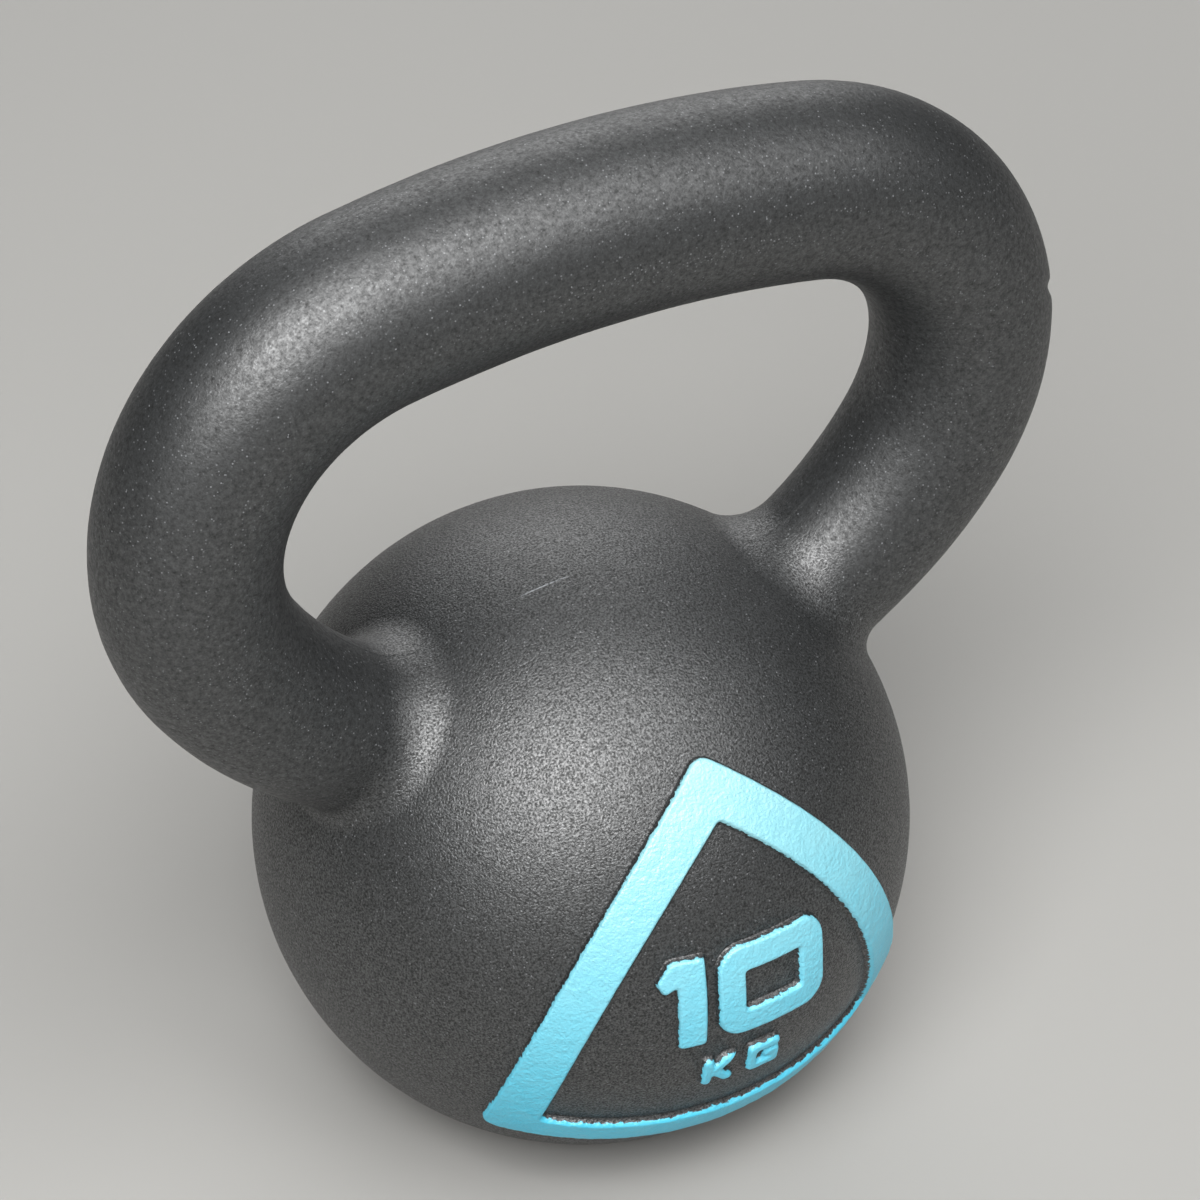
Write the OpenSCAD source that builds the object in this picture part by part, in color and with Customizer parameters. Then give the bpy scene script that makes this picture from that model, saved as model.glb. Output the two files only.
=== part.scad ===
// Solid cast-iron kettlebell: a ball with a flat base, a looped handle, and a
// raised badge on the front of the ball. Lengths are in millimetres.
// Origin: centre of the flat base. +Z up, +X along the handle, badge towards -Y.

/* [Ball] */
// Diameter of the ball
ball_d = 128; // [118:1:170]
// Diameter of the flat face that the ball stands on
base_d = 72; // [40:1:90]

/* [Handle] */
// Diameter of the handle at the middle of the grip
grip_d = 36.8; // [28:0.2:42]
// Diameter of each horn where it reaches the ball
horn_d = 32.2; // [24:0.2:38]
// Clear height of the hand window, from the top of the ball to the grip
window_h = 56; // [48:1:75]
// Length of the grip between the two shoulder bends
grip_l = 88; // [70:1:110]
// Radius of the grip's upward crown, along its centre line
crown_r = 224; // [160:1:500]
// Radius of each shoulder bend, along its centre line
shoulder_r = 45; // [38:1:55]
// Angle that each shoulder bend turns through
shoulder_turn = 110; // [100:1:118]
// Angle from the vertical at which each horn runs into the ball
root_angle = 44; // [38:1:50]
// Radius of the fillet between a horn and the ball, on the side of the hand window
root_fillet_in = 12; // [5:0.5:16]
// Radius of the fillet between a horn and the ball, on the horn's outer side
root_fillet_out = 4; // [2:0.5:8]

/* [Badge frame] */
// Height that the badge stands out from the ball
relief_h = 1.6; // [0.8:0.1:3]
// Height of the frame's outer apex above the ball's centre
apex_up = 49; // [44:0.5:52]
// Depth of the frame's outer foot corners below the ball's centre
foot_down = 28.5; // [22:0.5:31]
// Distance between the frame's two outer foot corners
frame_w = 87; // [80:1:92]
// Radius of the frame's two bowed sides
side_r = 88; // [80:1:200]
// Radius of the frame's bowed lower edge
sill_r = 200; // [110:1:400]
// Width of the frame's two side bars
side_bar_w = 8; // [4:0.5:10]
// Width of the frame's lower bar
sill_bar_w = 6.4; // [4:0.2:9]
// Radius of the frame's rounded outer corners
frame_corner_r = 4; // [1:0.5:6]

/* [Numerals and letters] */
// Height of the numerals
numeral_h = 20; // [16:0.5:22]
// Width of the strokes of the numerals
numeral_stroke = 5.5; // [3:0.1:6]
// Width of the numeral one, over its flag
one_w = 9.4; // [7:0.1:10]
// Width of the numeral zero
zero_w = 23.4; // [18:0.1:25]
// Radius of the zero's outer corners
zero_corner_r = 5; // [2:0.1:6]
// Gap between the two numerals
numeral_gap = 2.5; // [1.5:0.1:5]
// Depth of the foot of the numerals below the ball's centre
numeral_down = 2.7; // [1:0.1:6]
// Height of the letters of the unit
letter_h = 7; // [5:0.1:8]
// Width of each letter
letter_w = 7; // [5:0.1:9]
// Width of the strokes of the letters
letter_stroke = 1.9; // [1:0.1:2.2]
// Gap between the two letters
letter_gap = 2.4; // [1:0.1:6]
// Gap between the numerals and the letters below them
line_gap = 5.6; // [3:0.1:7]

/* [Hidden] */

$fn = 96;
// Extra length that carries a cut or a construction solid past a surface
cut_past = 1;
// Depth that a horn's centre line runs on inside the ball, before the ball's surface trims it
root_depth = 18;
// Points round each ring of the handle, and rings along each of its arcs
ring_sides = 36;
crown_rings = 5;
shoulder_rings = 18;
horn_rings = 18;
// Radius of the frame's window corners
window_corner_r = 1.2;
// Depth below the ball's surface at which a root fillet runs out, so that its rim is no feather
fillet_sink = 0.3;

ball_r = ball_d / 2;
ball_z = sqrt(pow(ball_r, 2) - pow(base_d / 2, 2));
grip_r = grip_d / 2;
horn_r = horn_d / 2;
grip_z = ball_z + ball_r + window_h + grip_r;

// ---- Centre line of the handle, in the XZ plane ----
// A heading is the angle below +X, so a path with a growing heading bends downwards.

function arc_step(start, heading, radius, turn) =
    start + radius * [sin(heading + turn) - sin(heading), cos(heading + turn) - cos(heading)];

function arc_length(radius, turn) = radius * turn * PI / 180;

crown_turn = asin(grip_l / 2 / crown_r);
crown_end = arc_step([0, grip_z], 0, crown_r, crown_turn);
shoulder_end = arc_step(crown_end, crown_turn, shoulder_r, shoulder_turn);
shoulder_heading = crown_turn + shoulder_turn;

// The horn is the one arc that leaves the shoulder smoothly and ends at horn_end
horn_end = [0, ball_z] + (ball_r - root_depth) * [sin(root_angle), cos(root_angle)];
horn_chord = horn_end - shoulder_end;
horn_side = horn_chord * [-sin(shoulder_heading), -cos(shoulder_heading)];
horn_bend_r = pow(norm(horn_chord), 2) / (2 * horn_side);
horn_turn = 2 * asin(horn_side / norm(horn_chord));

crown_l = arc_length(crown_r, crown_turn);
shoulder_l = arc_length(shoulder_r, shoulder_turn);
horn_l = arc_length(horn_bend_r, horn_turn);

// Stations are [position, heading, distance along the centre line from the middle of the grip]
function arc_stations(start, heading, radius, turn, count, done) =
    [for (i = [1:count])
        [arc_step(start, heading, radius, turn * i / count),
         heading + turn * i / count,
         done + arc_length(radius, turn) * i / count]];

right_stations = concat(
    arc_stations([0, grip_z], 0, crown_r, crown_turn, crown_rings, 0),
    arc_stations(crown_end, crown_turn, shoulder_r, shoulder_turn, shoulder_rings, crown_l),
    arc_stations(shoulder_end, shoulder_heading, horn_bend_r, horn_turn, horn_rings,
                 crown_l + shoulder_l));
right_count = len(right_stations);
left_stations = [for (i = [right_count - 1:-1:0])
    let (s = right_stations[i]) [[-s[0].x, s[0].y], -s[1], s[2]]];
stations = concat(left_stations, [[[0, grip_z], 0, 0]], right_stations);

// ---- Radius of the handle ----

taper_l = crown_l + shoulder_l + horn_l - root_depth;
function tapered_r(along) = grip_r - (grip_r - horn_r) * pow(along / taper_l, 2);

// A fillet's arc touches the horn's side line and the ball. Its centre lies fillet_r out from
// that line, and reach from the ball's centre. along is how far the arc's start on the line is
// from the point p, up the horn; normal and up are the point's unit directions.
function fillet_extra(p, normal, up, fillet_r) =
    let (q = p + fillet_r * normal - [0, 0, ball_z],
         reach = ball_r - fillet_sink + fillet_r,
         square = pow(q * up, 2) - q * q + pow(reach, 2),
         along = square > 0 ? sqrt(square) - q * up : 0,
         foot = fillet_r * ((q + along * up) * up) / reach)
    along <= 0 ? 0 : fillet_r - sqrt(pow(fillet_r, 2) - pow(min(along, foot), 2));

// Angle a is 0 on the outside of the handle's bend and 180 on the side of the hand window
function fillet_r_at(a) =
    (root_fillet_in + root_fillet_out) / 2 - (root_fillet_in - root_fillet_out) / 2 * cos(a);

function ring(s) =
    let (centre = [s[0].x, 0, s[0].y],
         way = [cos(s[1]), 0, -sin(s[1])],
         up = s[0].x > 0 ? -way : way)
    [for (j = [0:ring_sides - 1])
        let (a = 360 * j / ring_sides,
             normal = [cos(a) * sin(s[1]), sin(a), cos(a) * cos(s[1])],
             p = centre + tapered_r(s[2]) * normal)
        p + fillet_extra(p, normal, up, fillet_r_at(a)) * normal];

function corner(i, j) = i * ring_sides + j % ring_sides;

module handle_sweep() {
    last = len(stations) - 1;
    polyhedron(
        points = [for (s = stations) each ring(s)],
        faces = concat(
            [[for (j = [0:ring_sides - 1]) corner(0, j)]],
            [for (i = [0:last - 1], j = [0:ring_sides - 1])
                each [[corner(i, j), corner(i + 1, j), corner(i + 1, j + 1)],
                      [corner(i, j), corner(i + 1, j + 1), corner(i, j + 1)]]],
            [[for (j = [ring_sides - 1:-1:0]) corner(last, j)]]));
}

// ---- Flat artwork of the badge: X across, Y up, centred on the ball's centre ----

// Centre of the circle of radius r that runs from p to q and bows out to the right of that way
function bow_centre(p, q, r) =
    let (half = (q - p) / 2, side = [half.y, -half.x] / norm(half))
    p + half - side * sqrt(pow(r, 2) - pow(norm(half), 2));

apex = [0, apex_up];
foot_right = [frame_w / 2, -foot_down];
foot_left = [-frame_w / 2, -foot_down];

module bowed_triangle(side_inset = 0, sill_inset = 0) {
    intersection() {
        translate(bow_centre(foot_right, apex, side_r)) circle(side_r - side_inset);
        translate(bow_centre(apex, foot_left, side_r)) circle(side_r - side_inset);
        translate(bow_centre(foot_left, foot_right, sill_r)) circle(sill_r - sill_inset);
    }
}

module rounded_corners(r) {
    offset(r = r) offset(delta = -r) children();
}

// A box with rounded corners, its lower left corner at the origin
module rounded_box(w, h, r) {
    translate([r, 0]) square([w - 2 * r, h]);
    translate([0, r]) square([w, h - 2 * r]);
    for (x = [r, w - r], y = [r, h - r]) translate([x, y]) circle(r);
}

// A ring of that outline, with a stroke of even width
module box_ring(w, h, r, stroke) {
    difference() {
        rounded_box(w, h, r);
        translate([stroke, stroke]) square([w - 2 * stroke, h - 2 * stroke]);
    }
}

numerals_w = one_w + numeral_gap + zero_w;
letters_w = 2 * letter_w + letter_gap;
letter_y = -numeral_down - line_gap - letter_h;

// ---- From flat artwork to a raised piece on the ball ----

module raised() {
    translate([0, 0, ball_z])
    intersection() {
        rotate([90, 0, 0]) linear_extrude(ball_r + relief_h + cut_past) children();
        difference() {
            sphere(ball_r + relief_h);
            sphere(ball_r);
        }
    }
}

// ---- Sub-parts ----

module ball() {
    color("#303233")
    difference() {
        translate([0, 0, ball_z]) sphere(ball_r);
        translate([-ball_r, -ball_r, -ball_d]) cube([ball_d, ball_d, ball_d]);
    }
}

module handle() {
    color("#2a2c2d")
    difference() {
        handle_sweep();
        translate([0, 0, ball_z]) sphere(ball_r);
    }
}

module badge_frame() {
    color("#58cbe8")
    raised()
    difference() {
        rounded_corners(frame_corner_r) bowed_triangle();
        rounded_corners(window_corner_r) bowed_triangle(side_bar_w, sill_bar_w);
    }
}

module numeral_one() {
    flag_drop = one_w - numeral_stroke;
    color("#58cbe8")
    raised()
    translate([-numerals_w / 2, -numeral_down])
    union() {
        translate([one_w - numeral_stroke, 0]) square([numeral_stroke, numeral_h]);
        polygon([[flag_drop, numeral_h], [flag_drop - 1, numeral_h], [0, numeral_h - flag_drop],
                 [flag_drop / 3, numeral_h - 1.7 * flag_drop],
                 [flag_drop, numeral_h - 1.3 * flag_drop]]);
    }
}

module numeral_zero() {
    color("#58cbe8")
    raised()
    translate([numerals_w / 2 - zero_w, -numeral_down])
    box_ring(zero_w, numeral_h, zero_corner_r, numeral_stroke);
}

module letter_k() {
    mid = letter_h / 2;
    color("#58cbe8")
    raised()
    translate([-letters_w / 2, letter_y])
    union() {
        square([letter_stroke, letter_h]);
        polygon([[letter_stroke, mid - letter_stroke / 2], [letter_w - 1.4 * letter_stroke, 0],
                 [letter_w, 0], [1.9 * letter_stroke, mid], [letter_w, letter_h],
                 [letter_w - 1.4 * letter_stroke, letter_h], [letter_stroke, mid + letter_stroke / 2]]);
    }
}

module letter_g() {
    mid = letter_h / 2;
    color("#58cbe8")
    raised()
    translate([letters_w / 2 - letter_w, letter_y])
    union() {
        difference() {
            box_ring(letter_w, letter_h, letter_stroke / 2, letter_stroke);
            translate([letter_w / 2, mid]) square([letter_w, mid - letter_stroke]);
        }
        translate([letter_w / 2, mid - letter_stroke / 2]) square([letter_w / 2, letter_stroke]);
    }
}

ball();
handle();
badge_frame();
numeral_one();
numeral_zero();
letter_k();
letter_g();
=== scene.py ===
"""The looks of a solid cast iron kettlebell: a ball on a flat foot, a looped handle, and a
raised, painted badge on the front. Lengths are in metres, and MM turns millimetres to them."""

import math

import bmesh
import bpy
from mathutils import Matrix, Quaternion, Vector, noise
from mathutils.bvhtree import BVHTree
from mathutils.kdtree import KDTree


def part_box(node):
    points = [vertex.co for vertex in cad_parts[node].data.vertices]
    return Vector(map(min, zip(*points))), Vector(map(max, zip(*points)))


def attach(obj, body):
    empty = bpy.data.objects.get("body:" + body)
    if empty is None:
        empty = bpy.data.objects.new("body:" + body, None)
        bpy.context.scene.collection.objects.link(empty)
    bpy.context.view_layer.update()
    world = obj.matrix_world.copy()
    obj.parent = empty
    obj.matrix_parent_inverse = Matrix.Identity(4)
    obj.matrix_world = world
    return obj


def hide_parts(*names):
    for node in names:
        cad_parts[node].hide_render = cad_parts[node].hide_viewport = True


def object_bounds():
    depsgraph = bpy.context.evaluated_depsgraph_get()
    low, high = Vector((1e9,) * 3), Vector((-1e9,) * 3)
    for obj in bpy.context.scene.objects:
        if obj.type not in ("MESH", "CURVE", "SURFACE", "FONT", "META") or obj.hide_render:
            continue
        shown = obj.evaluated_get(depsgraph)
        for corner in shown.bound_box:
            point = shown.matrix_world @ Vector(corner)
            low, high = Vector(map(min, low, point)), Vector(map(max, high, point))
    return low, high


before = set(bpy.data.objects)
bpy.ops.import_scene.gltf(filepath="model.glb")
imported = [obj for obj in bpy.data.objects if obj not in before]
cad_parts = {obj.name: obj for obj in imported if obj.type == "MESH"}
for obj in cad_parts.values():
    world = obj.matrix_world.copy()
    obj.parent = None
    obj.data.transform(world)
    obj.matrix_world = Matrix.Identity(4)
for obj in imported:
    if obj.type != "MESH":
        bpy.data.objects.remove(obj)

cad_low, cad_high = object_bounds()

# ---- Sizes ----

MM = 0.001

ball_low, ball_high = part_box("ball")
handle_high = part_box("handle")[1]
BALL_RADIUS = (ball_high.x - ball_low.x) / 2
BALL_CENTRE = Vector((0, 0, ball_high.z - BALL_RADIUS))
# Rounding of the edge where the ball meets its flat foot
FOOT_ROUNDING = 2.0 * MM

GRIP_RADIUS = 18.4 * MM
HORN_RADIUS = 16.1 * MM
GRIP_HEIGHT = handle_high.z - GRIP_RADIUS
GRIP_LENGTH = 88 * MM
CROWN_RADIUS = 224 * MM
SHOULDER_RADIUS = 45 * MM
SHOULDER_TURN = math.radians(110)
ROOT_ANGLE = math.radians(44)
# Depth inside the ball to which each horn's centre line runs on
ROOT_DEPTH = 18 * MM
FILLET_INSIDE = 12 * MM
FILLET_OUTSIDE = 4 * MM
# The fillets run out this far under the ball's skin, so that the two skins meet with no step
FILLET_SINK = 0.003 * MM
# From there the skin goes on under the ball's by these steps: how far on, and how deep
SKIN_STEPS = ((0.5 * MM, 0.01 * MM), (1.2 * MM, 0.06 * MM), (2.0 * MM, 0.3 * MM))

# How finely the ball is divided: rings across its foot, round the foot's edge and up its side
FOOT_RINGS = 12
EDGE_RINGS = 8
SIDE_RINGS = 190
BALL_SIDES = 320
# How finely the handle is divided: rings along each stretch, and sides round a ring, with more
# sides at these angles, in degrees, to either side of a mould seam
CROWN_RINGS = 30
SHOULDER_RINGS = 110
HORN_RINGS = 110
FILLET_RINGS = 40
RING_SIDES = 150
SEAM_ANGLES = (0.6, 1.2, 1.8, 3.4)
# Halvings in which the start of a fillet is found along a horn
FILLET_HALVINGS = 30

# A sand casting is never quite true: its skin waves by up to a tenth of a millimetre. Finer waves
# lie over the long ones, this many times as fine and this share as deep.
WAVE_LENGTH = 13 * MM
WAVE_DEPTH = 0.10 * MM
FINE_WAVES = 3.1
FINE_WAVE_SHARE = 0.4
# Depth of the orange peel in the rolled enamel, the lengths of its coarse and its fine waves, and
# how deep the fine ones are as a share of the coarse ones
PEEL_DEPTH = 0.16 * MM
PEEL_LENGTH = 1.7 * MM
FINE_PEEL_LENGTH = 0.9 * MM
FINE_PEEL_SHARE = 0.5
# The handle's skin lies this far inside the true shape, which keeps it in its CAD node's box. At
# the ball it doesn't: the depth grows from nothing over this distance from the ball's skin.
DRESSING_DEPTH = 0.22 * MM
DRESSING_REACH = 8 * MM
# The two halves of the mould leave a fine ridge along the inside and outside of each horn's foot.
# From the ball's skin it rises over the first distance, and it has faded out by the second.
SEAM_HEIGHT = 0.12 * MM
SEAM_HALF_WIDTH = 0.35 * MM
SEAM_RISE = 4 * MM
SEAM_REACH = 32 * MM
# A knock has left a short, shallow groove that slants across the outside of the right shoulder
NICK_PLACE = Vector((94.3 * MM, -8.7 * MM, 153.0 * MM))
NICK_HALF_LENGTH = 6.0 * MM
NICK_HALF_WIDTH = 1.3 * MM
NICK_DEPTH = 0.75 * MM
# The way across the groove
NICK_ACROSS = Vector((0.24, 0.58, 0.78)).normalized()

# The badge's figures stand this far out. Their walls lean and run out this far from the outline,
# their upper edges are rounded over this far inside it, and they are keyed this far into the ball.
RELIEF_HEIGHT = 1.6 * MM
WALL_RUN = 0.65 * MM
EDGE_ROUND = 0.45 * MM
RELIEF_KEY = 1.2 * MM
# The skin of a raised piece goes on this far past the foot of its wall, under the ball's skin. It
# falls by this share of the way, and from this far under the ball's skin.
WALL_TUCK = 0.5 * MM
TUCK_FALL = 0.6
FOOT_SINK = 0.02 * MM
# A raised piece's skin is made on a grid with cells this wide, which starts this many times as
# far outside the outline as the skin needs
RELIEF_STEP = 0.26 * MM
GRID_MARGIN = 1.6
# Rounds in which each distance to an outline is averaged with its neighbours', to soften corners
CORNER_ROUNDS = 6
# In a CAD figure, points closer than this are one, faces that face outward by at least this
# cosine are its top, and points on the top's outline are taken this far apart
SAME_POINT = 0.001 * MM
TOP_FACING = 0.9
OUTLINE_STEP = 0.1 * MM


# ---- Meshes ----

def new_piece(name, points, faces):
    """A smooth-shaded mesh object, in the frame that the CAD nodes are in."""
    mesh = bpy.data.meshes.new(name)
    mesh.from_pydata(points, [], faces)
    mesh.update()
    mesh.polygons.foreach_set("use_smooth", [True] * len(mesh.polygons))
    piece = bpy.data.objects.new(name, mesh)
    bpy.context.scene.collection.objects.link(piece)
    return piece


def cast_wave(point):
    """How deep the casting's skin lies at a point, below the true shape."""
    fine_wave = noise.noise(point / WAVE_LENGTH * FINE_WAVES)
    wave = noise.noise(point / WAVE_LENGTH) + FINE_WAVE_SHARE * fine_wave
    return WAVE_DEPTH * min(1, max(0, 0.5 + 0.5 * wave))


def peel_wave(point):
    """The soft orange peel that the roller leaves in the enamel, from 0 to 1."""
    fine_wave = noise.noise(point / FINE_PEEL_LENGTH)
    wave = noise.noise(point / PEEL_LENGTH) + FINE_PEEL_SHARE * fine_wave
    return 0.5 + 0.5 * wave


def ball_profile():
    """Points (distance from the axis, height) from the middle of the foot to the ball's top."""
    edge_height = FOOT_ROUNDING
    edge_out = math.sqrt((BALL_RADIUS - FOOT_ROUNDING) ** 2 - (BALL_CENTRE.z - edge_height) ** 2)
    foot_points = [(edge_out * i / FOOT_RINGS, 0) for i in range(FOOT_RINGS)]
    edge_end = math.atan2(edge_out, BALL_CENTRE.z - edge_height)
    edge_points = []
    for i in range(EDGE_RINGS + 1):
        angle = edge_end * i / EDGE_RINGS
        edge_points.append((edge_out + FOOT_ROUNDING * math.sin(angle),
                            edge_height - FOOT_ROUNDING * math.cos(angle)))
    side_points = []
    for i in range(1, SIDE_RINGS + 1):
        angle = edge_end + (math.pi - edge_end) * i / SIDE_RINGS
        side_points.append((BALL_RADIUS * math.sin(angle),
                            BALL_CENTRE.z - BALL_RADIUS * math.cos(angle)))
    return foot_points + edge_points + side_points


def make_ball():
    """The ball, turned from its profile, with the casting's waves in its round skin."""
    profile = ball_profile()
    rims = profile[1:-1]
    points = [Vector((0, 0, profile[0][1]))]
    for out, height in rims:
        for j in range(BALL_SIDES):
            turn = 2 * math.pi * j / BALL_SIDES
            points.append(Vector((out * math.cos(turn), out * math.sin(turn), height)))
    points.append(Vector((0, 0, profile[-1][1])))
    for i, point in enumerate(points):
        if point.z > 0:
            outward = (point - BALL_CENTRE).normalized()
            points[i] = point - outward * cast_wave(point) * min(1, point.z / FOOT_ROUNDING)
    top = len(points) - 1
    faces = [(0, 1 + (j + 1) % BALL_SIDES, 1 + j) for j in range(BALL_SIDES)]
    for i in range(len(rims) - 1):
        low = 1 + i * BALL_SIDES
        high = low + BALL_SIDES
        for j in range(BALL_SIDES):
            k = (j + 1) % BALL_SIDES
            faces.append((low + j, low + k, high + k, high + j))
    last = top - BALL_SIDES
    faces += [(last + j, last + (j + 1) % BALL_SIDES, top) for j in range(BALL_SIDES)]
    return new_piece("ball_casting", points, faces)


def arc_step(start, heading, radius, turn):
    """Where an arc ends, in the XZ plane. A heading is an angle below +X, and a turn adds to it."""
    return start + radius * Vector((math.sin(heading + turn) - math.sin(heading),
                                    math.cos(heading + turn) - math.cos(heading)))


def centre_line():
    """The arcs (start, heading, radius, turn) of the right half of the handle's centre line."""
    crown_turn = math.asin(GRIP_LENGTH / 2 / CROWN_RADIUS)
    crown_start = Vector((0, GRIP_HEIGHT))
    crown_end = arc_step(crown_start, 0, CROWN_RADIUS, crown_turn)
    shoulder_end = arc_step(crown_end, crown_turn, SHOULDER_RADIUS, SHOULDER_TURN)
    heading = crown_turn + SHOULDER_TURN
    root_reach = BALL_RADIUS - ROOT_DEPTH
    horn_end = Vector((root_reach * math.sin(ROOT_ANGLE),
                       BALL_CENTRE.z + root_reach * math.cos(ROOT_ANGLE)))
    chord = horn_end - shoulder_end
    side = -chord.x * math.sin(heading) - chord.y * math.cos(heading)
    horn_bend = chord.length_squared / (2 * side)
    horn_turn = 2 * math.asin(side / chord.length)
    return [(crown_start, 0.0, CROWN_RADIUS, crown_turn),
            (crown_end, crown_turn, SHOULDER_RADIUS, SHOULDER_TURN),
            (shoulder_end, heading, horn_bend, horn_turn)]


ARCS = centre_line()
CROWN, SHOULDER, HORN = range(3)
ARC_LENGTHS = [radius * turn for start, heading, radius, turn in ARCS]
# The bar grows thinner over this length, from the middle of the grip to the ball
TAPER_LENGTH = sum(ARC_LENGTHS) - ROOT_DEPTH


def round_side(arc, share, angle):
    """A point of the handle's round side, a share of the way along an arc, and the way that
    it faces. Angle 0 is the outside of the bend. No fillet is counted."""
    start, heading, radius, turn = ARCS[arc]
    place = arc_step(start, heading, radius, turn * share)
    heading += turn * share
    along = sum(ARC_LENGTHS[:arc]) + ARC_LENGTHS[arc] * share
    thickness = GRIP_RADIUS - (GRIP_RADIUS - HORN_RADIUS) * (along / TAPER_LENGTH) ** 2
    normal = Vector((math.cos(angle) * math.sin(heading), math.sin(angle),
                     math.cos(angle) * math.cos(heading)))
    return Vector((place.x, 0, place.y)) + thickness * normal, normal


def ring_angles():
    """Angles round a ring, 0 on the outside of the bend, closer together at the two seams."""
    angles = {360 * j / RING_SIDES for j in range(RING_SIDES)}
    for seam in (0, 180):
        for step in SEAM_ANGLES:
            angles |= {(seam + step) % 360, (seam - step) % 360}
    return [math.radians(angle) for angle in sorted(angles)]


def seam_ridge(point, angle):
    """Height of the mould seam: it shows near the ball, and is dressed away further up."""
    to_seam = abs(math.remainder(angle, math.pi)) * HORN_RADIUS
    shape = math.exp(-(to_seam / SEAM_HALF_WIDTH) ** 2)
    from_ball = (point - BALL_CENTRE).length - BALL_RADIUS
    return SEAM_HEIGHT * shape * eased(1 - from_ball / SEAM_REACH) * eased(from_ball / SEAM_RISE)


def nick_depth(point):
    """How deep the nick in the shoulder is at a point."""
    away = point - NICK_PLACE
    across = away.dot(NICK_ACROSS)
    along = (away - across * NICK_ACROSS).length
    return NICK_DEPTH * math.exp(-(across / NICK_HALF_WIDTH) ** 2 - (along / NICK_HALF_LENGTH) ** 2)


def fillet_start(angle, fillet):
    """How far along the horn the fillet into the ball starts, as a share of the horn's arc."""
    low, high = 0.0, 1.0
    for halving in range(FILLET_HALVINGS):
        share = (low + high) / 2
        side, normal = round_side(HORN, share, angle)
        if (side + fillet * normal - BALL_CENTRE).length > BALL_RADIUS - FILLET_SINK + fillet:
            low = share
        else:
            high = share
    return share


def side_line(angle):
    """Points and facings along one side of the handle's right half, from the middle of the
    grip to inside the ball: along the bar, down the fillet, then just under the ball's skin."""
    line = []
    for arc, rings in ((CROWN, CROWN_RINGS), (SHOULDER, SHOULDER_RINGS)):
        line += [round_side(arc, i / rings, angle) for i in range(rings)]
    inward = (1 - math.cos(angle)) / 2
    fillet = FILLET_OUTSIDE + (FILLET_INSIDE - FILLET_OUTSIDE) * inward
    start = fillet_start(angle, fillet)
    line += [round_side(HORN, start * i / HORN_RINGS, angle) for i in range(HORN_RINGS + 1)]
    side, normal = line[-1]
    centre = side + fillet * normal
    first = -normal
    last = (BALL_CENTRE - centre).normalized()
    sweep = first.angle(last)
    for i in range(1, FILLET_RINGS + 1):
        step = sweep * i / FILLET_RINGS
        spoke = (first * math.sin(sweep - step) + last * math.sin(step)) / math.sin(sweep)
        line.append((centre + fillet * spoke, -spoke))
    onward = (last * math.cos(sweep) - first) / math.sin(sweep)
    for further, deeper in SKIN_STEPS:
        turn = further / BALL_RADIUS
        out = onward * math.sin(turn) - last * math.cos(turn)
        line.append((BALL_CENTRE + out * (BALL_RADIUS - FILLET_SINK - deeper), out))
    line.append(round_side(HORN, 1, angle))
    return line


def make_handle():
    """The looped handle: round rings swept along the centre line, filleted into the ball."""
    angles = ring_angles()
    lines = [side_line(angle) for angle in angles]
    rows = len(lines[0])
    left_rows = [(row, Vector((-1, 1, 1))) for row in range(rows - 1, 0, -1)]
    right_rows = [(row, Vector((1, 1, 1))) for row in range(rows)]
    points = []
    for row, mirror in left_rows + right_rows:
        for line, angle in zip(lines, angles):
            true_point = line[row][0] * mirror
            normal = line[row][1] * mirror
            outward = true_point - BALL_CENTRE
            clear = min(1, max(0, (outward.length - BALL_RADIUS) / DRESSING_REACH))
            skin = (normal * clear + outward.normalized() * (1 - clear)).normalized()
            depth = cast_wave(true_point) + DRESSING_DEPTH * clear + nick_depth(true_point)
            points.append(true_point - skin * (depth - seam_ridge(true_point, angle)))
    sides = len(angles)
    last = len(points) // sides - 1
    faces = [tuple(range(sides))]
    for i in range(last):
        for j in range(sides):
            k = (j + 1) % sides
            faces.append((i * sides + j, (i + 1) * sides + j, (i + 1) * sides + k, i * sides + k))
    faces.append(tuple(last * sides + j for j in reversed(range(sides))))
    return new_piece("handle_casting", points, faces)


def raised_top(node):
    """The top face of a raised CAD figure: a tree for rays, a tree of points on its outline, and
    those points."""
    figure = bmesh.new()
    figure.from_mesh(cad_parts[node].data)
    bmesh.ops.remove_doubles(figure, verts=figure.verts, dist=SAME_POINT)
    figure.verts.index_update()
    for face in figure.faces:
        outward = face.calc_center_median() - BALL_CENTRE
        raised = outward.length > BALL_RADIUS + RELIEF_HEIGHT / 2
        face.tag = raised and face.normal.dot(outward.normalized()) > TOP_FACING
    corners = [vert.co.copy() for vert in figure.verts]
    tops = [[vert.index for vert in face.verts] for face in figure.faces if face.tag]
    top_tree = BVHTree.FromPolygons(corners, tops)
    edge_points = []
    for edge in figure.edges:
        if sum(face.tag for face in edge.link_faces) == 1:
            start, end = (vert.co for vert in edge.verts)
            steps = max(1, math.ceil((end - start).length / OUTLINE_STEP))
            edge_points += [start.lerp(end, i / steps) for i in range(steps)]
    figure.free()
    edge_tree = KDTree(len(edge_points))
    for i, point in enumerate(edge_points):
        edge_tree.insert(point, i)
    edge_tree.balance()
    return top_tree, edge_tree, edge_points


def eased(share):
    """A share from 0 to 1, eased at both ends."""
    share = min(1, max(0, share))
    return share * share * (3 - 2 * share)


def relief_height(inside):
    """Height of a leaning cast wall, at a distance inside (or, below 0, outside) its outline."""
    height = RELIEF_HEIGHT * eased((inside + WALL_RUN) / (WALL_RUN + EDGE_ROUND))
    tucked = min(0, inside + WALL_RUN) * TUCK_FALL
    return height + tucked - FOOT_SINK * (1 - eased((inside + WALL_RUN) / WALL_RUN))


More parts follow.
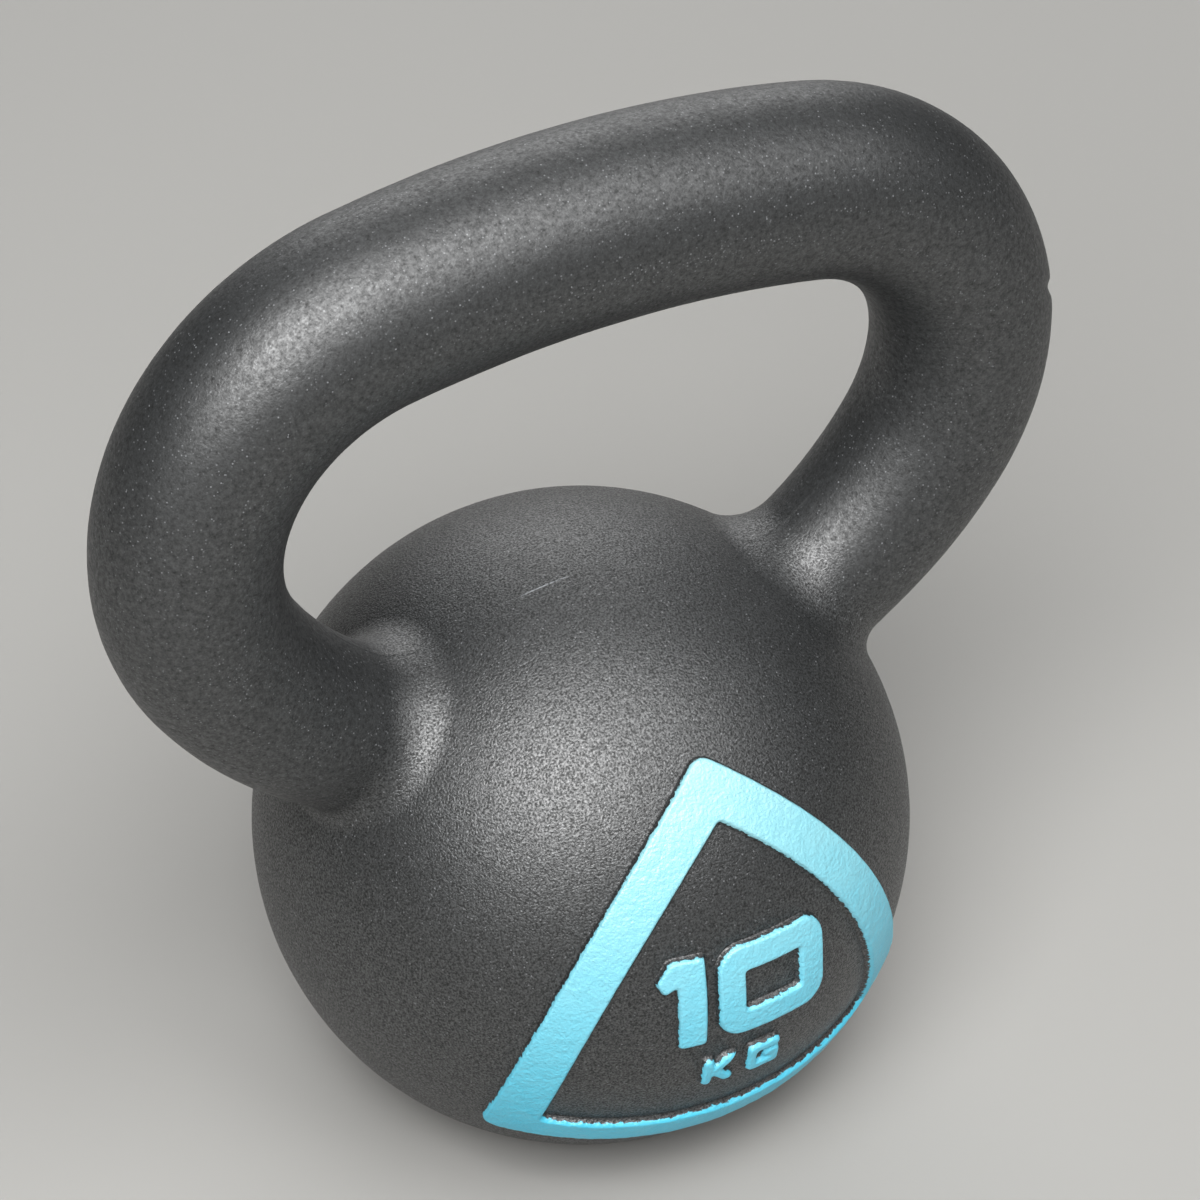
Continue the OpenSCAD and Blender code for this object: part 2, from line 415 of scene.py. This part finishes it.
def softened(values):
    """Values on a grid, each averaged with its four neighbours in a few rounds."""
    for passing in range(CORNER_ROUNDS):
        averages = {}
        for i, j in values:
            nearby = [values.get(cell) for cell in ((i + 1, j), (i - 1, j), (i, j + 1), (i, j - 1))]
            nearby = [value for value in nearby if value is not None] + [values[i, j]]
            averages[i, j] = sum(nearby) / len(nearby)
        values = averages
    return values


def outline_grid(node):
    """A grid round a raised figure. For each cell it gives how far inside (or, below 0, outside)
    the outline it is, with softened corners, and the way out to it from the ball's centre."""
    top_tree, edge_tree, edge_points = raised_top(node)
    edge_radius = BALL_RADIUS + RELIEF_HEIGHT
    rounds = [math.atan2(p.x, -p.y) for p in edge_points]
    rises = [math.asin((p.z - BALL_CENTRE.z) / (p - BALL_CENTRE).length) for p in edge_points]
    step = RELIEF_STEP / BALL_RADIUS
    reach = WALL_RUN + 2 * WALL_TUCK
    margin = reach / BALL_RADIUS * GRID_MARGIN
    columns = int((max(rounds) - min(rounds) + 2 * margin) / step)
    rows = int((max(rises) - min(rises) + 2 * margin) / step)
    insides = {}
    outs = {}
    for i in range(rows):
        rise = min(rises) - margin + i * step
        for j in range(columns):
            turn = min(rounds) - margin + j * step
            out = Vector((math.sin(turn) * math.cos(rise), -math.cos(turn) * math.cos(rise),
                          math.sin(rise)))
            inside = edge_tree.find(BALL_CENTRE + out * edge_radius)[2]
            if top_tree.ray_cast(BALL_CENTRE, out)[0] is None:
                inside = -inside
            if inside > -reach:
                insides[i, j] = inside
                outs[i, j] = out
    return softened(insides), outs


def make_raised(node, name):
    """A raised figure of the badge with leaning cast walls, keyed a little into the ball. Each
    grid cell gives two points: one on the skin, and one under it in the ball."""
    insides, outs = outline_grid(node)
    grid = {}
    points = []
    for cell, out in outs.items():
        if insides[cell] > -WALL_RUN - WALL_TUCK:
            grid[cell] = len(points) // 2
            skin = BALL_CENTRE + out * BALL_RADIUS
            height = relief_height(insides[cell]) - cast_wave(skin)
            height -= PEEL_DEPTH * eased(insides[cell] / EDGE_ROUND) * peel_wave(skin)
            points += [skin + out * height, BALL_CENTRE + out * (BALL_RADIUS - RELIEF_KEY)]
    faces = []
    for i, j in grid:
        cell = [(i, j), (i, j + 1), (i + 1, j + 1), (i + 1, j)]
        if all(corner in grid for corner in cell):
            top = [2 * grid[corner] for corner in cell]
            faces += [tuple(top), tuple(k + 1 for k in reversed(top))]
    # The edges that only one cell has are the rim, which a wall closes
    rims = {}
    for face in faces[::2]:
        for start, end in zip(face, face[1:] + face[:1]):
            if rims.pop((end, start), None) is None:
                rims[start, end] = True
    faces += [(end, start, start + 1, end + 1) for start, end in rims]
    piece = new_piece(name, points, faces)
    inside_outline = piece.data.attributes.new("inside_outline", "FLOAT", "POINT")
    inside_outline.data.foreach_set("value", [insides[cell] for cell in grid for side in (0, 1)])
    return piece


# ---- Materials ----

# Numbers of a Mix node's sockets: its two colours and their mix, and its two plain numbers
MIX_A = 6
MIX_B = 7
MIX_RESULT = 2
MIX_NUMBER_A = 2
MIX_NUMBER_B = 3

# The powder coat's colours: in the pits, painted darker as shade; on the grains' tops; and on a few
# specks, which are painted glints
PIT_SHADE_COLOUR = "#050606"
GRAIN_COLOUR = "#2a2c2d"
GLINT_SPECK_COLOUR = "#727476"
# Tint of its reflections in the pits, darkened there as painted shade
PIT_SHADE_TINT = "#a6a6a6"
# Its roughness in the pits, on the tops of smooth and of dull patches, and what the handle adds
PIT_ROUGHNESS = 0.56
SMOOTH_ROUGHNESS = 0.32
DULL_ROUGHNESS = 0.38
HANDLE_ROUGHNESS = 0.08
# A sand-textured powder coat has grains of about 0.2 mm, which are too fine to show. The sand and
# the specks of painted glint are drawn as coarse as they need to show.
SAND_GRAIN = 0.42 * MM
GLINT_SPECK_SIZE = 0.6 * MM
# Width of the dimples in its orange peel on the handle, and of its smooth and dull patches
DIMPLE_WIDTH = 1.0 * MM
PATCH_WIDTH = 22 * MM
# Going out from the ball, sand turns to orange peel between these distances, and by this share
PEEL_START = 1 * MM
PEEL_FULL = 14 * MM
HANDLE_PEEL = 0.7
# A fine scratch near the top of the ball runs from one of these places to the other. It skips
# over the coat in steps of about this length.
SCRATCH_START = Vector((-15.7, -3.0, 114.9)) * MM
SCRATCH_END = Vector((-4.4, -3.6, 116.7)) * MM
SCRATCH_HALF_WIDTH = 0.22 * MM
SCRATCH_SKIP = 0.8 * MM
SCRATCH_COLOUR = "#74777a"
# Height of the powder coat's grain, and the refractive index of its binder
COAT_RELIEF = 0.16 * MM
COAT_IOR = 1.66

# The enamel's colours under its painted sheen and at its palest, the tint of its reflections, and
# its roughness
ENAMEL_BELOW_SHEEN = "#2abfdf"
PALE_PATCH_AND_SHEEN_ENAMEL = "#92cad2"
ENAMEL_TINT = "#f4f4f4"
ENAMEL_ROUGHNESS = 0.46
# The enamel is painted paler upward, as a painted sheen where the light falls on the badge's top:
# from this far below the ball's centre to this far above, by this share. Paler patches of this
# width add up to this share.
SHEEN_START_BELOW = 22 * MM
SHEEN_FULL_ABOVE = 42 * MM
PAINTED_SHEEN_SHARE = 0.85
PALE_PATCH_WIDTH = 6 * MM
PALE_PATCH_SHARE = 0.2
# Width of the finest peel that the roller leaves, and its height as a multiple of the powder
# coat's grain
ROLLER_PEEL_WIDTH = 0.65 * MM
ROLLER_PEEL_HEIGHT = 1.6
# The paint's edge wanders at this length, by this much, and fades between these distances inside
# the outline, counted with what it wanders
RAGGED_LENGTH = 1.1 * MM
RAGGED_DEPTH = 0.75 * MM
PAINT_START = 0.24 * MM
PAINT_FULL = 0.32 * MM


def linear(colour):
    """An sRGB hex colour as linear red, green, blue and alpha."""
    parts = [int(colour[i:i + 2], 16) / 255 for i in (1, 3, 5)]
    return [p / 12.92 if p <= 0.04045 else ((p + 0.055) / 1.055) ** 2.4 for p in parts] + [1]


def per_length(size):
    """The scale at which a pattern repeats about once in a length."""
    return 1 / size


def add(tree, kind, inputs=None, **settings):
    """Adds a node. inputs gives each socket a value, or the output that feeds it."""
    node = tree.nodes.new(kind)
    for name, value in settings.items():
        setattr(node, name, value)
    for socket, value in (inputs or {}).items():
        if isinstance(value, bpy.types.NodeSocket):
            tree.links.new(value, node.inputs[socket])
        else:
            node.inputs[socket].default_value = value
    return node


def new_material(name):
    """An empty node material, its tree and its output node."""
    material = bpy.data.materials.new(name)
    material.use_nodes = True
    material.node_tree.nodes.clear()
    output = add(material.node_tree, "ShaderNodeOutputMaterial")
    return material, material.node_tree, output


def coat_relief(tree, place):
    """Height of the powder coat: fine sand, which runs into soft orange peel on the handle. The
    second output is how far it has. The peel's heights are drawn together, which softens it."""
    sand = add(tree, "ShaderNodeTexNoise",
               {"Vector": place, "Scale": per_length(SAND_GRAIN), "Detail": 2.5,
                "Roughness": 0.6}).outputs["Fac"]
    dimples = add(tree, "ShaderNodeTexNoise",
                  {"Vector": place, "Scale": per_length(DIMPLE_WIDTH), "Detail": 2.5,
                   "Roughness": 0.6}).outputs["Fac"]
    peel = add(tree, "ShaderNodeMapRange",
               {"Value": dimples, "To Min": 0.22, "To Max": 0.78}).outputs["Result"]
    from_centre = add(tree, "ShaderNodeVectorMath",
                      {0: place, 1: BALL_CENTRE}, operation="DISTANCE")
    on_handle = add(tree, "ShaderNodeMapRange",
                    {"Value": from_centre.outputs["Value"],
                     "From Min": BALL_RADIUS + PEEL_START, "From Max": BALL_RADIUS + PEEL_FULL,
                     "To Max": HANDLE_PEEL},
                    interpolation_type="SMOOTHSTEP").outputs["Result"]
    height = add(tree, "ShaderNodeMix",
                 {"Factor": on_handle, MIX_NUMBER_A: sand, MIX_NUMBER_B: peel},
                 data_type="FLOAT").outputs[0]
    return height, on_handle


def painted_glint_specks(tree, place):
    """Painted glints: a few single specks, from 0 to 1, coloured pale where grains would catch the
    light.
    """
    grains = add(tree, "ShaderNodeTexVoronoi",
                 {"Vector": place, "Scale": per_length(GLINT_SPECK_SIZE)})
    chosen = add(tree, "ShaderNodeMapRange",
                 {"Value": grains.outputs["Color"], "From Min": 0.64, "From Max": 0.92})
    round_top = add(tree, "ShaderNodeMapRange",
                    {"Value": grains.outputs["Distance"], "From Min": 0.34, "From Max": 0.16})
    return add(tree, "ShaderNodeMath",
               {0: chosen.outputs["Result"], 1: round_top.outputs["Result"]},
               operation="MULTIPLY").outputs[0]


def powder_coat(tree, place):
    """The charcoal powder coat's colour, roughness, tint of its reflections, and height. The
    grains' tops are smoother than the pits between them, and the pits carry painted shade in both
    colour and tint."""
    height, on_handle = coat_relief(tree, place)
    tops = add(tree, "ShaderNodeMapRange",
               {"Value": height, "From Min": 0.36, "From Max": 0.64}).outputs["Result"]
    # Painted shade: the pits between the grains are coloured darker
    skin = add(tree, "ShaderNodeMix",
               {"Factor": tops, MIX_A: linear(PIT_SHADE_COLOUR), MIX_B: linear(GRAIN_COLOUR)},
               data_type="RGBA")
    # Painted glints: a few specks are coloured pale
    colour = add(tree, "ShaderNodeMix",
                 {"Factor": painted_glint_specks(tree, place), MIX_A: skin.outputs[MIX_RESULT],
                  MIX_B: linear(GLINT_SPECK_COLOUR)},
                 data_type="RGBA")
    patches = add(tree, "ShaderNodeTexNoise",
                  {"Vector": place, "Scale": per_length(PATCH_WIDTH), "Detail": 3.0})
    rough_tops = add(tree, "ShaderNodeMapRange",
                     {"Value": patches.outputs["Fac"], "From Min": 0.3, "From Max": 0.7,
                      "To Min": SMOOTH_ROUGHNESS, "To Max": DULL_ROUGHNESS})
    grain_roughness = add(tree, "ShaderNodeMapRange",
                          {"Value": tops, "To Min": PIT_ROUGHNESS,
                           "To Max": rough_tops.outputs["Result"]})
    roughness = add(tree, "ShaderNodeMath",
                    {0: on_handle, 1: HANDLE_ROUGHNESS, 2: grain_roughness.outputs["Result"]},
                    operation="MULTIPLY_ADD")
    # Painted shade: the pits' reflections are tinted darker
    glint = add(tree, "ShaderNodeMix",
                {"Factor": tops, MIX_A: linear(PIT_SHADE_TINT), MIX_B: linear("#ffffff")},
                data_type="RGBA")
    return colour.outputs[MIX_RESULT], roughness.outputs[0], glint.outputs[MIX_RESULT], height


def scratch(tree, place):
    """The scratch near the ball's top, from 0 to 1: a thin pale line that skips over the grain. It
    follows the ball's curve, and fades out over the last fifth at each end."""
    middle = (SCRATCH_START + SCRATCH_END) / 2
    length = (SCRATCH_END - SCRATCH_START).length
    side = (SCRATCH_START - BALL_CENTRE).cross(SCRATCH_END - BALL_CENTRE).normalized()
    from_centre = add(tree, "ShaderNodeVectorMath", {0: place, 1: BALL_CENTRE},
                      operation="SUBTRACT")
    sideways = add(tree, "ShaderNodeVectorMath", {0: from_centre.outputs["Vector"], 1: side},
                   operation="DOT_PRODUCT")
    off_line = add(tree, "ShaderNodeMath", {0: sideways.outputs["Value"]}, operation="ABSOLUTE")
    line = add(tree, "ShaderNodeMapRange",
               {"Value": off_line.outputs[0], "From Min": SCRATCH_HALF_WIDTH,
                "From Max": SCRATCH_HALF_WIDTH / 2})
    from_middle = add(tree, "ShaderNodeVectorMath", {0: place, 1: middle}, operation="DISTANCE")
    within = add(tree, "ShaderNodeMapRange",
                 {"Value": from_middle.outputs["Value"], "From Min": 0.5 * length,
                  "From Max": 0.3 * length})
    skips = add(tree, "ShaderNodeTexNoise", {"Vector": place, "Scale": per_length(SCRATCH_SKIP)})
    touched = add(tree, "ShaderNodeMapRange",
                  {"Value": skips.outputs["Fac"], "From Min": 0.3, "From Max": 0.5})
    marked = add(tree, "ShaderNodeMath",
                 {0: line.outputs["Result"], 1: within.outputs["Result"]}, operation="MULTIPLY")
    return add(tree, "ShaderNodeMath",
               {0: marked.outputs[0], 1: touched.outputs["Result"]},
               operation="MULTIPLY").outputs[0]


def finish_surface(tree, output, colour, roughness, glint, height):
    """The shader and the relief that both finishes share."""
    bump = add(tree, "ShaderNodeBump",
               {"Height": height, "Strength": 1.0, "Distance": COAT_RELIEF})
    shader = add(tree, "ShaderNodeBsdfPrincipled",
                 {"Base Color": colour,
                  "Roughness": roughness,
                  "IOR": COAT_IOR,
                  "Specular IOR Level": 1.0,
                  "Specular Tint": glint,
                  "Normal": bump.outputs["Normal"]})
    tree.links.new(shader.outputs["BSDF"], output.inputs["Surface"])


def powder_coated_iron():
    """Cast iron under a satin charcoal powder coat: a nearly black skin whose fine grain breaks
    the highlights into soft, sparkling patches."""
    material, tree, output = new_material("powder_coated_cast_iron")
    place = add(tree, "ShaderNodeTexCoord").outputs["Object"]
    coat_colour, roughness, glint, height = powder_coat(tree, place)
    colour = add(tree, "ShaderNodeMix",
                 {"Factor": scratch(tree, place), MIX_A: coat_colour,
                  MIX_B: linear(SCRATCH_COLOUR)},
                 data_type="RGBA")
    finish_surface(tree, output, colour.outputs[MIX_RESULT], roughness, glint, height)
    return material


def painted_share(tree, place):
    """Where the enamel lies, from 0 to 1: on the top and, up to a ragged line, on the rounding."""
    inside = add(tree, "ShaderNodeAttribute", attribute_name="inside_outline").outputs["Fac"]
    ragged = add(tree, "ShaderNodeTexNoise",
                 {"Vector": place, "Scale": per_length(RAGGED_LENGTH), "Detail": 2.5,
                  "Roughness": 0.6})
    edge = add(tree, "ShaderNodeMath",
               {0: ragged.outputs["Fac"], 1: RAGGED_DEPTH, 2: inside},
               operation="MULTIPLY_ADD")
    return add(tree, "ShaderNodeMapRange",
               {"Value": edge.outputs[0], "From Min": PAINT_START,
                "From Max": PAINT_FULL}).outputs["Result"]


def enamel_colour(tree, place):
    """Light blue with a painted sheen, paler towards the badge's top where the light falls, and in
    faint patches.
    """
    patches = add(tree, "ShaderNodeTexNoise",
                  {"Vector": place, "Scale": per_length(PALE_PATCH_WIDTH), "Detail": 3.0})
    rise = add(tree, "ShaderNodeSeparateXYZ", {"Vector": place}).outputs["Z"]
    # Painted sheen: the blue is painted paler towards the top of the badge, where the light falls
    painted_sheen = add(tree, "ShaderNodeMapRange",
                   {"Value": rise, "From Min": BALL_CENTRE.z - SHEEN_START_BELOW,
                    "From Max": BALL_CENTRE.z + SHEEN_FULL_ABOVE, "To Max": PAINTED_SHEEN_SHARE})
    sheen_and_patch_share = add(tree, "ShaderNodeMath",
                     {0: patches.outputs["Fac"], 1: PALE_PATCH_SHARE,
                      2: painted_sheen.outputs["Result"]},
                     operation="MULTIPLY_ADD")
    return add(tree, "ShaderNodeMix",
               {"Factor": sheen_and_patch_share.outputs[0], MIX_A: linear(ENAMEL_BELOW_SHEEN),
                MIX_B: linear(PALE_PATCH_AND_SHEEN_ENAMEL)},
               data_type="RGBA").outputs[MIX_RESULT]


def roller_peel(tree, place):
    """Height of the orange peel that the roller leaves, counted as the powder coat's is."""
    peel = add(tree, "ShaderNodeTexNoise",
               {"Vector": place, "Scale": per_length(ROLLER_PEEL_WIDTH), "Detail": 2.0,
                "Roughness": 0.5})
    return add(tree, "ShaderNodeMath", {0: peel.outputs["Fac"], 1: ROLLER_PEEL_HEIGHT},
               operation="MULTIPLY").outputs[0]


def rolled_enamel():
    """Light blue enamel rolled over the raised tops: satin, with the roller's orange peel. It
    laps a little over the rounded edges, in a wavy line, and leaves the walls powder coated."""
    material, tree, output = new_material("blue_enamel_over_powder_coat")
    place = add(tree, "ShaderNodeTexCoord").outputs["Object"]
    wall_colour, wall_roughness, wall_glint, wall_height = powder_coat(tree, place)
    painted = painted_share(tree, place)
    colour = add(tree, "ShaderNodeMix",
                 {"Factor": painted, MIX_A: wall_colour, MIX_B: enamel_colour(tree, place)},
                 data_type="RGBA")
    glint = add(tree, "ShaderNodeMix",
                {"Factor": painted, MIX_A: wall_glint, MIX_B: linear(ENAMEL_TINT)},
                data_type="RGBA")
    roughness = add(tree, "ShaderNodeMix",
                    {"Factor": painted, MIX_NUMBER_A: wall_roughness,
                     MIX_NUMBER_B: ENAMEL_ROUGHNESS},
                    data_type="FLOAT")
    height = add(tree, "ShaderNodeMix",
                 {"Factor": painted, MIX_NUMBER_A: wall_height,
                  MIX_NUMBER_B: roller_peel(tree, place)},
                 data_type="FLOAT")
    finish_surface(tree, output, colour.outputs[MIX_RESULT], roughness.outputs[0],
                   glint.outputs[MIX_RESULT], height.outputs[0])
    return material


def pale_paper():
    """Seamless studio paper: matt, and even in tone."""
    material, tree, output = new_material("pale_studio_paper")
    shader = add(tree, "ShaderNodeBsdfPrincipled",
                 {"Base Color": linear("#9a9996"), "Roughness": 0.8})
    tree.links.new(shader.outputs["BSDF"], output.inputs["Surface"])
    return material


# ---- Studio ----

def make_floor():
    """A wide paper floor under the foot."""
    reach = 4.0
    corners = [(-reach, -reach, 0), (reach, -reach, 0), (reach, reach, 0), (-reach, reach, 0)]
    floor = new_piece("studio_floor", corners, [(0, 1, 2, 3)])
    floor.data.materials.append(pale_paper())


def make_lamp(name, azimuth, elevation, distance, size, power):
    """A square soft box aimed at the middle of the kettlebell. Azimuth 0 is in front of the
    badge, and a positive one is round to its right."""
    middle = (cad_low + cad_high) / 2
    round_by = math.radians(azimuth)
    up_by = math.radians(elevation)
    out = Vector((math.sin(round_by) * math.cos(up_by), -math.cos(round_by) * math.cos(up_by),
                  math.sin(up_by)))
    data = bpy.data.lights.new(name, "AREA")
    data.shape = "SQUARE"
    data.size = size
    data.energy = power
    lamp = bpy.data.objects.new(name, data)
    lamp.location = middle + out * distance
    lamp.rotation_mode = "QUATERNION"
    lamp.rotation_quaternion = (-out).to_track_quat("-Z", "Y")
    bpy.context.scene.collection.objects.link(lamp)


def light_studio():
    """Three soft boxes over the front, the left one strongest, a low one behind, and a dim room."""
    make_lamp("key_box", azimuth=-43, elevation=47, distance=1.6, size=1.0, power=33)
    make_lamp("top_box", azimuth=-12, elevation=68, distance=1.6, size=1.1, power=14)
    make_lamp("right_box", azimuth=36, elevation=50, distance=1.6, size=1.2, power=10)
    make_lamp("back_box", azimuth=158, elevation=28, distance=1.8, size=1.4, power=14)
    world = bpy.data.worlds.new("studio_room")
    world.use_nodes = True
    room = world.node_tree.nodes["Background"]
    room.inputs["Color"].default_value = linear("#dfe0e2")
    room.inputs["Strength"].default_value = 0.04
    bpy.context.scene.world = world
    bpy.context.scene.view_settings.view_transform = "Standard"


def set_camera():
    """A long lens that looks down from the left of the badge. Blender takes the sensor's width and
    the focal length in millimetres."""
    azimuth = math.radians(-29.17)
    elevation = math.radians(38.78)
    lean = math.radians(1.07)
    distance = 0.8634
    target = Vector((3.4 * MM, 0, 105.1 * MM))
    out = Vector((math.sin(azimuth) * math.cos(elevation),
                  -math.cos(azimuth) * math.cos(elevation), math.sin(elevation)))
    data = bpy.data.cameras.new("studio_camera")
    data.sensor_width = 36
    data.lens = 137.8
    camera = bpy.data.objects.new("studio_camera", data)
    camera.location = target + out * distance
    camera.rotation_mode = "QUATERNION"
    camera.rotation_quaternion = ((-out).to_track_quat("-Z", "Y")
                                  @ Quaternion((0, 0, 1), lean))
    bpy.context.scene.collection.objects.link(camera)
    bpy.context.scene.camera = camera


# ---- The kettlebell ----

def fit(piece, node, material):
    """Dresses a piece and puts it in the place of its CAD node."""
    piece.data.materials.clear()
    piece.data.materials.append(material)
    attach(piece, "root")
    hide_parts(node)


coat = powder_coated_iron()
enamel = rolled_enamel()
fit(make_ball(), "ball", coat)
fit(make_handle(), "handle", coat)
for node in ("badge_frame", "numeral_one", "numeral_zero", "letter_k", "letter_g"):
    fit(make_raised(node, node + "_relief"), node, enamel)

make_floor()
light_studio()
set_camera()
